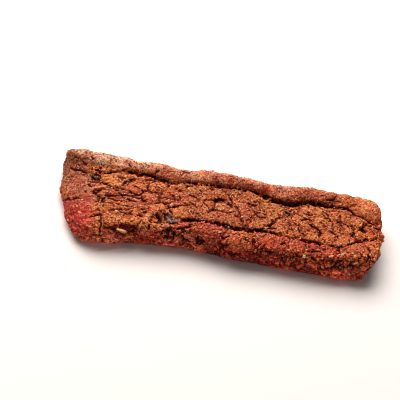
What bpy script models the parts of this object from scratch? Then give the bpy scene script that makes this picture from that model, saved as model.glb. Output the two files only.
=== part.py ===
"""Chicken jerky bar: one solid bar of dried, formed chicken.

Row frame, in metres: +X runs along the bar from the pinched end to the blunt end, +Y points to the side
with the rolled rim, +Z is up. The origin is at the centre of the bounding box, on the surface that the bar lies on.

The form is a rounded block, cut into rows of faces and then shaped by the functions below. Their numbers are in
millimetres, along the bar (x), across it (y) and upwards (z).
"""

import math

import bmesh
import bpy
from mathutils import Vector, noise

# Driving dimensions, in metres
LENGTH = 0.1210  # end to end
WIDTH = 0.0375  # over the widest places on both long sides
THICKNESS = 0.0124  # underside to the top of the rolled rim

FIELD_HEIGHT = 10.6  # the cracked field between the two long creases
RIM_RISE = 1.5  # the rolled rim stands this much above the field
LOBE_RISE = 0.35  # the rounded lobe along the other long side
CREASE_FAR = (2.5, 1.05)  # depth and half width of the crease beside the rim
CREASE_NEAR = (1.7, 0.75)  # depth and half width of the crease beside the lobe
TOP_ROUNDING = 4.2
FOOT_ROUNDING = 2.2
LUMP_HEIGHT = 0.42  # uneven swelling of the dried meat
LUMP_SIZE = 6.0

# Hollows where crumbs have come away: x, y, half length, half width, depth
HOLLOWS = {
    "beside the rim, near the pinched end": (-46.4, 5.3, 1.7, 2.4, 1.5),
    "at the start of the near crease": (-21.6, -8.4, 2.6, 2.0, 1.3),
    "in the near edge": (-34.8, -16.9, 4.0, 1.9, 1.9),
}


def through(points, x):
    """A smooth curve through (x, value) pairs, level beyond both ends."""
    if x <= points[0][0]:
        return points[0][1]
    for i in range(len(points) - 1):
        (x0, v0), (x1, v1) = points[i], points[i + 1]
        if x <= x1:
            before = points[max(i - 1, 0)]
            after = points[min(i + 2, len(points) - 1)]
            m0 = (v1 - before[1]) / (x1 - before[0])
            m1 = (after[1] - v0) / (after[0] - x0)
            h = x1 - x0
            t = (x - x0) / h
            return (
                (2 * t**3 - 3 * t**2 + 1) * v0
                + (t**3 - 2 * t**2 + t) * h * m0
                + (3 * t**2 - 2 * t**3) * v1
                + (t**3 - t**2) * h * m1
            )
    return points[-1][1]


def ramp(edge0, edge1, x):
    t = min(max((x - edge0) / (edge1 - edge0), 0.0), 1.0)
    return t * t * (3 - 2 * t)


# The plan outline: widest at both ends, with a waist left of the middle
def far_side(x):
    return through(
        [(-60, 16.6), (-48, 18.3), (-30, 17.2), (-15, 16.4), (-6, 17.8), (10, 16.7), (36, 17.3), (61, 16.2)], x
    )


def near_side(x):
    return through(
        [(-60, -17.2), (-46, -17.8), (-30, -15.6), (-12, -14.8), (4, -16.6), (26, -17.9), (44, -18.5), (61, -17.6)], x
    )


# The two long creases, as places across the bar
def far_crease(x):
    return through(
        [(-46, 10.4), (-34, 10.0), (-26, 9.2), (-20, 6.8), (-14, 8.1), (12, 8.6), (21, 5.4), (26, 5.6), (32, 7.9),
         (39, 7.5), (48, 5.0), (55, 2.2)], x
    )  # fmt: skip


def near_crease(x):
    return through(
        [(-20, -9.3), (-6, -8.2), (8, -9.6), (15, -8.8), (22, -9.5), (42, -10.6), (47, -8.5), (54, -5.0)], x
    )


def far_crease_depth(x):
    return CREASE_FAR[0] * (0.35 + 0.65 * ramp(-40, -33, x)) * ramp(-52, -47, x) * (1 - ramp(48, 56, x))


def near_crease_depth(x):
    return CREASE_NEAR[0] * ramp(-21, -14, x) * (1 - 0.45 * ramp(38, 44, x)) * (1 - ramp(49, 55, x))


def across(eta, x):
    """Place across the bar. eta runs from -1 at the near side to 1 at the rim side, and the creases lie at -0.5 and 0.5."""
    stops = [(-1.0, near_side(x)), (-0.5, near_crease(x)), (0.5, far_crease(x)), (1.0, far_side(x))]
    for (e0, y0), (e1, y1) in zip(stops, stops[1:]):
        if eta <= e1:
            return y0 + (y1 - y0) * (eta - e0) / (e1 - e0)
    return stops[-1][1]


def pinched_end(y, zeta):
    """The end that a blade has drawn down: its face leans back towards the top, and the near corner is cut away."""
    foot = -59.3 + 0.0105 * max(8.5 - y, 0.0) ** 2
    lean = through([(-18, 6.5), (-9, 9.0), (2, 11.0), (8, 9.0), (13, 4.0), (17, 0.8)], y)
    return foot + lean * max((zeta - 0.25) / 0.75, 0.0) ** 1.5 + 2.0 * max((0.25 - zeta) / 0.25, 0.0) ** 2


def blunt_end(y, zeta):
    """The other end: upright and bowed, with the near corner cut back and the foot drawn in."""
    bow = through([(-18, 56.0), (-14, 57.6), (-10, 59.3), (-5, 60.9), (1, 61.7), (8, 61.1), (16, 60.6)], y)
    return bow - 1.9 * (1 - zeta) ** 1.6


def top_height(x, y):
    far, near = far_crease(x), near_crease(x)
    rim_middle = 0.5 * (far + far_side(x)) + 0.6
    rim_width = max(far_side(x) - far, 5.0) * 0.55
    z = FIELD_HEIGHT
    z += RIM_RISE * math.exp(-(((y - rim_middle) / rim_width) ** 2)) * (0.8 + 0.2 * ramp(-20, 0, x))
    z += LOBE_RISE * ramp(near + 0.5, near - 1.5, y) * ramp(-24, -12, x)
    z -= far_crease_depth(x) * math.exp(-(((y - far) / CREASE_FAR[1]) ** 2))
    z -= near_crease_depth(x) * math.exp(-(((y - near) / CREASE_NEAR[1]) ** 2))
    z -= 0.5 * ramp(-30, -50, x) * ramp(9, 2, y)  # the field sinks a little towards the pinched end
    for x0, y0, half_length, half_width, depth in HOLLOWS.values():
        z -= depth * math.exp(-(((x - x0) / half_length) ** 2) - ((y - y0) / half_width) ** 2)
    return z


def rounded_block(a, b, c):
    """A point of the cube from -1 to 1, moved onto a block with rounded edges, and given as shares of its sides."""
    half = Vector((60.0, 17.5, 6.0))
    r = FOOT_ROUNDING + (TOP_ROUNDING - FOOT_ROUNDING) * ramp(-0.3, 0.3, c)
    r *= 1 - 0.35 * ramp(0.6, 1.0, -a) * ramp(0.4, 1.0, b)  # the corner of the rim at the pinched end is sharper
    q = Vector((a * half.x, b * half.y, c * half.z))
    core = Vector(tuple(min(max(v, r - h), h - r) for v, h in zip(q, half)))
    out = q - core
    if out.length > 1e-6:
        q = core + out.normalized() * r
    return q.x / half.x, q.y / half.y, q.z / half.z


def place(a, b, c):
    """Where the cube's point lies on the bar, in millimetres."""
    xi, eta, zc = rounded_block(a, b, c)
    zeta = 0.5 * (zc + 1)
    share = 0.5 * (xi + 1)
    y = across(eta, 0.5 * LENGTH * 1000 * xi)
    x = pinched_end(y, zeta) * (1 - share) + blunt_end(y, zeta) * share
    y = across(eta, x)
    skin = ramp(0.55, 1.0, zeta)  # how far the top's relief reaches down the sides
    z = zeta * (FIELD_HEIGHT + skin * (top_height(x, y) - FIELD_HEIGHT))
    if zeta > 0:
        at = Vector((x / (1.5 * LUMP_SIZE), y / LUMP_SIZE, z / LUMP_SIZE))
        swell = noise.noise(at) + 0.5 * noise.noise(2.1 * at + Vector((7.3, 1.9, 4.1)))
        z += LUMP_HEIGHT * swell * ramp(0.3, 1.0, zeta)
        side = ramp(0.75, 1.0, abs(eta)) * ramp(0.0, 0.25, zeta)
        y += math.copysign(LUMP_HEIGHT * 1.6 * swell * side, eta)
        end = ramp(0.94, 1.0, abs(xi)) * ramp(0.0, 0.25, zeta)
        x += math.copysign(LUMP_HEIGHT * 1.4 * swell * end, xi)
    return x, y, max(z, 0.0)


# Rows of faces: close together at the rounded edges and the creases
ALONG = [1.0, 0.986, 0.967, 0.94]
ALONG_ROWS = 68
ACROSS = [0.94, 0.87, 0.79, 0.7, 0.6, 0.55, 0.523, 0.5, 0.477, 0.45, 0.38, 0.27, 0.14]
UPWARDS = [-0.82, -0.6, -0.25, 0.1, 0.38, 0.6, 0.8, 0.93]


def make_bar():
    form = bmesh.new()
    bmesh.ops.create_cube(form, size=2.0)
    inner = [-ALONG[-1] + 2 * ALONG[-1] * i / ALONG_ROWS for i in range(ALONG_ROWS + 1)]
    cuts = {
        0: [s * v for v in ALONG[1:-1] for s in (-1, 1)] + inner,
        1: [s * v for v in ACROSS for s in (-1, 1)] + [0.0],
        2: UPWARDS,
    }
    for axis, places in cuts.items():
        normal = Vector([1.0 if i == axis else 0.0 for i in range(3)])
        for p in places:
            bmesh.ops.bisect_plane(
                form, geom=form.verts[:] + form.edges[:] + form.faces[:], dist=1e-5, plane_co=normal * p, plane_no=normal
            )
    for v in form.verts:
        v.co = place(*v.co)
    # the bounding box sets the frame and the driving dimensions
    low = Vector(tuple(min(v.co[i] for v in form.verts) for i in range(3)))
    high = Vector(tuple(max(v.co[i] for v in form.verts) for i in range(3)))
    size = high - low
    scale = Vector((LENGTH / size.x, WIDTH / size.y, THICKNESS / size.z))
    middle = Vector((0.5 * (low.x + high.x), 0.5 * (low.y + high.y), low.z))
    print("shaped in mm:", [round(v, 2) for v in size], "scaled by:", [round(1000 * v, 4) for v in scale])
    print("middle was at:", [round(v, 3) for v in middle])
    for v in form.verts:
        v.co = Vector(tuple((v.co[i] - middle[i]) * scale[i] for i in range(3)))
    bmesh.ops.recalc_face_normals(form, faces=form.faces[:])
    underside = [f for f in form.faces if max(v.co.z for v in f.verts) < 1e-7]
    bmesh.ops.dissolve_faces(form, faces=underside)  # one flat face to lie on
    mesh = bpy.data.meshes.new("jerky_bar")
    form.to_mesh(mesh)
    form.free()
    mesh.shade_smooth()
    return mesh


def jerky_material():
    material = bpy.data.materials.new("dried_chicken")
    material.use_nodes = True
    shader = material.node_tree.nodes["Principled BSDF"]
    shader.inputs["Base Color"].default_value = (0.33, 0.085, 0.035, 1.0)
    shader.inputs["Roughness"].default_value = 0.6
    shader.inputs["Metallic"].default_value = 0.0
    return material


def main():
    for obj in list(bpy.data.objects):
        bpy.data.objects.remove(obj)
    collection = bpy.data.collections.new("Chicken jerky bar")
    bpy.context.scene.collection.children.link(collection)
    bar = bpy.data.objects.new("jerky_bar", make_bar())
    bar.data.materials.append(jerky_material())
    collection.objects.link(bar)


main()
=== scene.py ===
"""Looks of the chicken jerky bar: dried, cracked and crumbly meat around the fixed frame.

The bar's form repeats the model's own functions on a fine grid and adds chunks, cracks, grains and fibres to it, all
inside the same box. Numbers are in millimetres along the bar (x), across it (y) and upwards (z), in the frame in which
the form is drawn; SHIFT and STRETCH take them to the row frame.
"""

import bmesh
import bpy
import numpy as np
from mathutils import Matrix, Vector, noise
from mathutils.bvhtree import BVHTree


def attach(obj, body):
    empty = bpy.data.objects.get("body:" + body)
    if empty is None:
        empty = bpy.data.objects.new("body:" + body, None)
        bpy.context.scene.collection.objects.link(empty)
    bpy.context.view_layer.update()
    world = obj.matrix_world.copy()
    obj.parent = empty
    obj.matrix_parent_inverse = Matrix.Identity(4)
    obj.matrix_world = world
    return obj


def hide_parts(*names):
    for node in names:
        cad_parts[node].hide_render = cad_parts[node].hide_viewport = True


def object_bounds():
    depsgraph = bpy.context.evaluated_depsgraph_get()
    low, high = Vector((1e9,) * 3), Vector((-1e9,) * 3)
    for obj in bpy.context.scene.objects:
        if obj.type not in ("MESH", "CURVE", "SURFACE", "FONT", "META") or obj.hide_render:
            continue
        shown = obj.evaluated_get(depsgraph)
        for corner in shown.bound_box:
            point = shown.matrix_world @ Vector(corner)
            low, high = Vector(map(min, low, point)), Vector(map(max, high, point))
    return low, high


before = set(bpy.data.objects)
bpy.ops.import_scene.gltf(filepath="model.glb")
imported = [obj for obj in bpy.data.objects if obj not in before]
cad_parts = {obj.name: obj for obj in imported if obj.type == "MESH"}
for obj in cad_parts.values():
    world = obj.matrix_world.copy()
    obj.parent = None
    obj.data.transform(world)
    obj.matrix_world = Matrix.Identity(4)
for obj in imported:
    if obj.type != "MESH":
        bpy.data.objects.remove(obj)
CAD_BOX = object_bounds()

# ---------------------------------------------------------------- the bar's form, as in the model
HALF_LENGTH = 60.5
FIELD_HEIGHT = 10.6
RIM_RISE = 1.5
LOBE_RISE = 0.35
CREASE_FAR = (1.7, 0.9)  # depth and half width of the crease beside the rim
CREASE_NEAR = (0.6, 0.6)  # depth and half width of the crease beside the lobe
TOP_ROUNDING = 4.2
FOOT_ROUNDING = 2.2
LUMP_HEIGHT = 0.42
LUMP_SIZE = 6.0
HOLLOWS = {
    "beside the rim, near the pinched end": (-46.4, 5.3, 1.7, 2.4, 1.5),
    "at the start of the near crease": (-21.6, -8.4, 2.6, 2.0, 1.3),
    "in the near edge": (-34.8, -16.9, 4.0, 1.9, 1.9),
}
SHIFT = np.array([1.023, -0.096, 0.0])
STRETCH = np.array([0.9997, 1.0007, 1.0087])

CELLS_ALONG, CELLS_ACROSS, CELLS_UP = 430, 130, 38
CRUMB_COUNT = 1100


def through(points, x):
    """A smooth curve through (x, value) pairs, level beyond both ends."""
    xs, vs = (np.array(v, float) for v in zip(*points))
    x = np.clip(x, xs[0], xs[-1])
    i = np.clip(np.searchsorted(xs, x) - 1, 0, len(xs) - 2)
    before, after = np.maximum(i - 1, 0), np.minimum(i + 2, len(xs) - 1)
    m0 = (vs[i + 1] - vs[before]) / (xs[i + 1] - xs[before])
    m1 = (vs[after] - vs[i]) / (xs[after] - xs[i])
    h = xs[i + 1] - xs[i]
    t = (x - xs[i]) / h
    return (
        (2 * t**3 - 3 * t**2 + 1) * vs[i]
        + (t**3 - 2 * t**2 + t) * h * m0
        + (3 * t**2 - 2 * t**3) * vs[i + 1]
        + (t**3 - t**2) * h * m1
    )


def ramp(edge0, edge1, x):
    t = np.clip((x - edge0) / (edge1 - edge0), 0.0, 1.0)
    return t * t * (3 - 2 * t)


def mix(a, b, t):
    return a + (b - a) * t


def far_side(x):
    return through(
        [(-60, 16.6), (-48, 18.3), (-30, 17.2), (-15, 16.4), (-6, 17.8), (10, 16.7), (36, 17.3), (61, 16.2)], x
    )


def near_side(x):
    return through(
        [(-60, -17.2), (-46, -17.8), (-30, -15.6), (-12, -14.8), (4, -16.6), (26, -17.9), (44, -18.5), (61, -17.6)], x
    )


def far_crease(x):
    return through(
        [(-46, 10.6), (-34, 10.3), (-26, 10.0), (-20, 7.9), (-14, 9.1), (-5, 9.7), (11, 10.0), (17, 8.2), (21, 6.7), (26, 6.7),
         (32, 8.8), (39, 8.5), (48, 7.3), (55, 3.6)], x
    )  # fmt: skip


def near_crease(x):
    return through(
        [(-20, -9.3), (-6, -7.9), (8, -9.1), (15, -8.4), (22, -9.2), (42, -10.5), (47, -8.5), (54, -5.0)], x
    )


def far_crease_depth(x):
    return CREASE_FAR[0] * (0.35 + 0.65 * ramp(-40, -33, x)) * ramp(-52, -47, x) * (1 - ramp(48, 56, x))


def near_crease_depth(x):
    return CREASE_NEAR[0] * ramp(-21, -14, x) * (1 - 0.45 * ramp(38, 44, x)) * (1 - ramp(49, 55, x))


def across(eta, x):
    stops = [near_side(x), near_crease(x), far_crease(x), far_side(x)]
    y = mix(stops[0], stops[1], (eta + 1) / 0.5)
    y = np.where(eta > -0.5, mix(stops[1], stops[2], eta + 0.5), y)
    return np.where(eta > 0.5, mix(stops[2], stops[3], (eta - 0.5) / 0.5), y)


def pinched_end(y, zeta):
    foot = -59.3 + 0.0105 * np.maximum(8.5 - y, 0.0) ** 2
    lean = through([(-18, 6.5), (-9, 9.0), (2, 11.0), (8, 9.0), (13, 4.0), (17, 0.8)], y)
    return foot + lean * np.maximum((zeta - 0.25) / 0.75, 0.0) ** 1.5 + 2.0 * np.maximum((0.25 - zeta) / 0.25, 0.0) ** 2


def blunt_end(y, zeta):
    bow = through([(-18, 56.0), (-14, 57.6), (-10, 59.3), (-5, 60.9), (1, 61.7), (8, 61.1), (16, 60.6)], y)
    return bow - 1.9 * (1 - zeta) ** 1.6


def top_height(x, y):
    far, near = far_crease(x), near_crease(x)
    rim_middle = 0.5 * (far + far_side(x)) + 0.6
    rim_width = np.maximum(far_side(x) - far, 5.0) * 0.55
    z = FIELD_HEIGHT + RIM_RISE * np.exp(-(((y - rim_middle) / rim_width) ** 2)) * (0.8 + 0.2 * ramp(-20, 0, x))
    z += LOBE_RISE * ramp(0.5, -1.5, y - near) * ramp(-24, -12, x)
    wide = ramp(13, 19, x)  # where the rim rolls far down into the crease
    slope = np.where(y > far, 1.5 - 0.1 * wide, 0.75) * CREASE_FAR[1]
    z -= (0.42 + 0.53 * wide) * (1 - 0.8 * ramp(38, 44, x)) * far_crease_depth(x) * np.exp(-(((y - far) / slope) ** 2))
    z -= near_crease_depth(x) * np.exp(-(((y - near) / CREASE_NEAR[1]) ** 2))
    z -= 0.5 * ramp(-30, -50, x) * ramp(9, 2, y)
    for x0, y0, half_length, half_width, depth in HOLLOWS.values():
        z -= depth * np.exp(-(((x - x0) / half_length) ** 2) - ((y - y0) / half_width) ** 2)
    return z


def rounded_block(cube):
    half = np.array([60.0, 17.5, 6.0])
    a, b, c = cube.T
    r = FOOT_ROUNDING + (TOP_ROUNDING - FOOT_ROUNDING) * ramp(-0.3, 0.3, c)
    r = r * (1 - 0.35 * ramp(0.6, 1.0, -a) * ramp(0.4, 1.0, b))
    q = cube * half
    core = np.clip(q, r[:, None] - half, half - r[:, None])
    out = q - core
    length = np.linalg.norm(out, axis=1)
    q = np.where(length[:, None] > 1e-6, core + out / np.maximum(length, 1e-9)[:, None] * r[:, None], q)
    return (q / half).T


def place(cube):
    """Where points of the cube from -1 to 1 lie on the bar, in millimetres."""
    xi, eta, zc = rounded_block(cube)
    zeta, share = 0.5 * (zc + 1), 0.5 * (xi + 1)
    y = across(eta, HALF_LENGTH * xi)
    x = mix(pinched_end(y, zeta), blunt_end(y, zeta), share)
    y = across(eta, x)
    skin = ramp(0.55, 1.0, zeta)
    z = zeta * (FIELD_HEIGHT + skin * (top_height(x, y) - FIELD_HEIGHT))
    at = np.stack([x / (1.5 * LUMP_SIZE), y / LUMP_SIZE, z / LUMP_SIZE], axis=1)
    swell = np.array([noise.noise(p) + 0.5 * noise.noise(2.1 * Vector(p) + Vector((7.3, 1.9, 4.1))) for p in at])
    z = z + LUMP_HEIGHT * swell * ramp(0.3, 1.0, zeta)
    y = y + np.sign(eta) * LUMP_HEIGHT * 1.6 * swell * ramp(0.75, 1.0, np.abs(eta)) * ramp(0.0, 0.25, zeta)
    x = x + np.sign(xi) * LUMP_HEIGHT * 1.4 * swell * ramp(0.94, 1.0, np.abs(xi)) * ramp(0.0, 0.25, zeta)
    return np.stack([x, y, np.maximum(z, 0.0)], axis=1), eta, zeta


def cube_grid(nx, ny, nz):
    """The surface of the cube from -1 to 1 as a grid of quads: (points, quads)."""
    index = -np.ones((nx + 1, ny + 1, nz + 1), np.int64)
    shell = np.ones(index.shape, bool)
    shell[1:-1, 1:-1, 1:-1] = False
    index[shell] = np.arange(shell.sum())
    ijk = np.argwhere(shell)
    points = ijk / np.array([nx, ny, nz]) * 2.0 - 1.0

    def sheet(face, flip):
        quads = np.stack([face[:-1, :-1], face[1:, :-1], face[1:, 1:], face[:-1, 1:]], axis=-1).reshape(-1, 4)
        return quads[:, ::-1] if flip else quads

    quads = [
        sheet(index[:, :, 0], True), sheet(index[:, :, -1], False),
        sheet(index[:, 0, :], False), sheet(index[:, -1, :], True),
        sheet(index[0, :, :], True), sheet(index[-1, :, :], False),
    ]  # fmt: skip
    return points, np.concatenate(quads)


def to_row(p):
    """From the frame in which the form is drawn, in mm, to the row frame, in metres."""
    return (p - SHIFT) * STRETCH / 1000.0


# ---------------------------------------------------------------- the photo's view
# 48 degrees down, 14 degrees to the left of the near side, and turned 19 degrees clockwise
YAW, ELEVATION, ROLL = (np.radians(v) for v in (14.0, 48.0, 19.0))
FOCAL = 2.737 * 456.0  # in pixels of the photo's 400 x 400 frame
VIEW_BACK = np.array([-np.sin(YAW) * np.cos(ELEVATION), -np.cos(YAW) * np.cos(ELEVATION), np.sin(ELEVATION)])
LEVEL = np.array([np.cos(YAW), -np.sin(YAW), 0.0])
VIEW_RIGHT = np.cos(ROLL) * LEVEL + np.sin(ROLL) * np.cross(VIEW_BACK, LEVEL)
VIEW_UP = -np.sin(ROLL) * LEVEL + np.cos(ROLL) * np.cross(VIEW_BACK, LEVEL)
EYE = to_row(np.array([0.0, 0.0, 5.7])) + VIEW_BACK * 0.456


def sight(px, py):
    """The direction from the camera through a pixel of the photo's 400 x 400 frame."""
    return -VIEW_BACK * FOCAL + VIEW_RIGHT * (px - 221) - VIEW_UP * (py - 215)


def in_photo(p):
    """The pixel (x, y) at which the photo shows a place given in mm."""
    row = to_row(p) - EYE
    away = -(row @ VIEW_BACK)
    return np.stack([221 + FOCAL * (row @ VIEW_RIGHT) / away, 215 - FOCAL * (row @ VIEW_UP) / away], axis=1)


def on_top(px, py, height=10.8):
    """The place (x, y) that a pixel shows at that height, in mm."""
    direction = sight(px, py)
    row = EYE + direction * (height * STRETCH[2] / 1000.0 - EYE[2]) / direction[2]
    return (row / STRETCH * 1000.0 + SHIFT)[:2]


# ---------------------------------------------------------------- noise
def hashed(i, seed):
    """A number from 0 to 1 for each whole-number cell."""
    i = i.astype(np.uint64)
    h = i[..., 0] * np.uint64(374761393) + i[..., 1] * np.uint64(668265263) + i[..., 2] * np.uint64(2246822519)
    h = (h + np.uint64(seed) * np.uint64(3266489917)) & np.uint64(0xFFFFFFFF)
    for shift, factor in ((15, 2246822519), (13, 3266489917)):
        h = ((h ^ (h >> np.uint64(shift))) * np.uint64(factor)) & np.uint64(0xFFFFFFFF)
    return (h ^ (h >> np.uint64(16))).astype(np.float64) / 4294967296.0


def soft(p, size, seed):
    """Smooth noise from -1 to 1 with features of that size."""
    q = p / size + 1000.0
    i = np.floor(q).astype(np.int64)
    f = q - i
    f = f * f * f * (f * (f * 6 - 15) + 10)
    total = 0.0
    for corner in np.ndindex(2, 2, 2):
        weight = np.prod([f[:, k] if corner[k] else 1 - f[:, k] for k in range(3)], axis=0)
        total = total + weight * hashed(i + np.array(corner), seed)
    return 2 * total - 1


def rough(p, size, seed, octaves=3):
    return sum(soft(p + 3.7 * k, size / 2**k, seed + k) * 0.55**k for k in range(octaves))


def bent(p, size, amount, seed):
    """Points moved about by noise, so that what is drawn at them is bent."""
    return p + amount * np.stack([soft(p, size, seed + k) for k in range(3)], axis=1)


def cells(p, size, seed, jitter=0.95):
    """Irregular cells of about that size: (distance to the cell's border in mm, distance to its middle, two numbers per cell)."""
    size = np.broadcast_to(np.asarray(size, float), p.shape)
    q = p / size + 1000.0
    base = np.floor(q).astype(np.int64)
    best = np.full(len(q), 99.0)
    near = np.zeros_like(q)
    owner = np.zeros((len(q), 2))
    spots = []
    for off in np.ndindex(3, 3, 3):
        c = base + np.array(off) - 1
        spot = c + 0.5 + jitter * (np.stack([hashed(c, seed + k) for k in range(3)], axis=1) - 0.5) - q
        d = (spot**2).sum(axis=1)
        closer = d < best
        best[closer] = d[closer]
        near[closer] = spot[closer]
        owner[closer, 0] = hashed(c[closer], seed + 7)
        owner[closer, 1] = hashed(c[closer], seed + 8)
        spots.append(spot.astype(np.float32))
    edge = np.full(len(q), 99.0)
    for spot in spots:
        gap = spot - near
        length = np.sqrt((gap**2).sum(axis=1))
        border = 0.5 * ((spot + near) * gap).sum(axis=1) / np.maximum(length, 1e-6)
        edge = np.where(length > 1e-4, np.minimum(edge, border), edge)
    scale = size.min(axis=1)
    return edge * scale, np.sqrt(best) * scale, owner


def steps(x, points):
    """x counted in cells whose length changes along the bar."""
    xs = np.linspace(-64, 64, 513)
    counted = np.concatenate([[0.0], np.cumsum((xs[1] - xs[0]) / through(points, xs[:-1]))])
    return np.interp(x, xs, counted)


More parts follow.
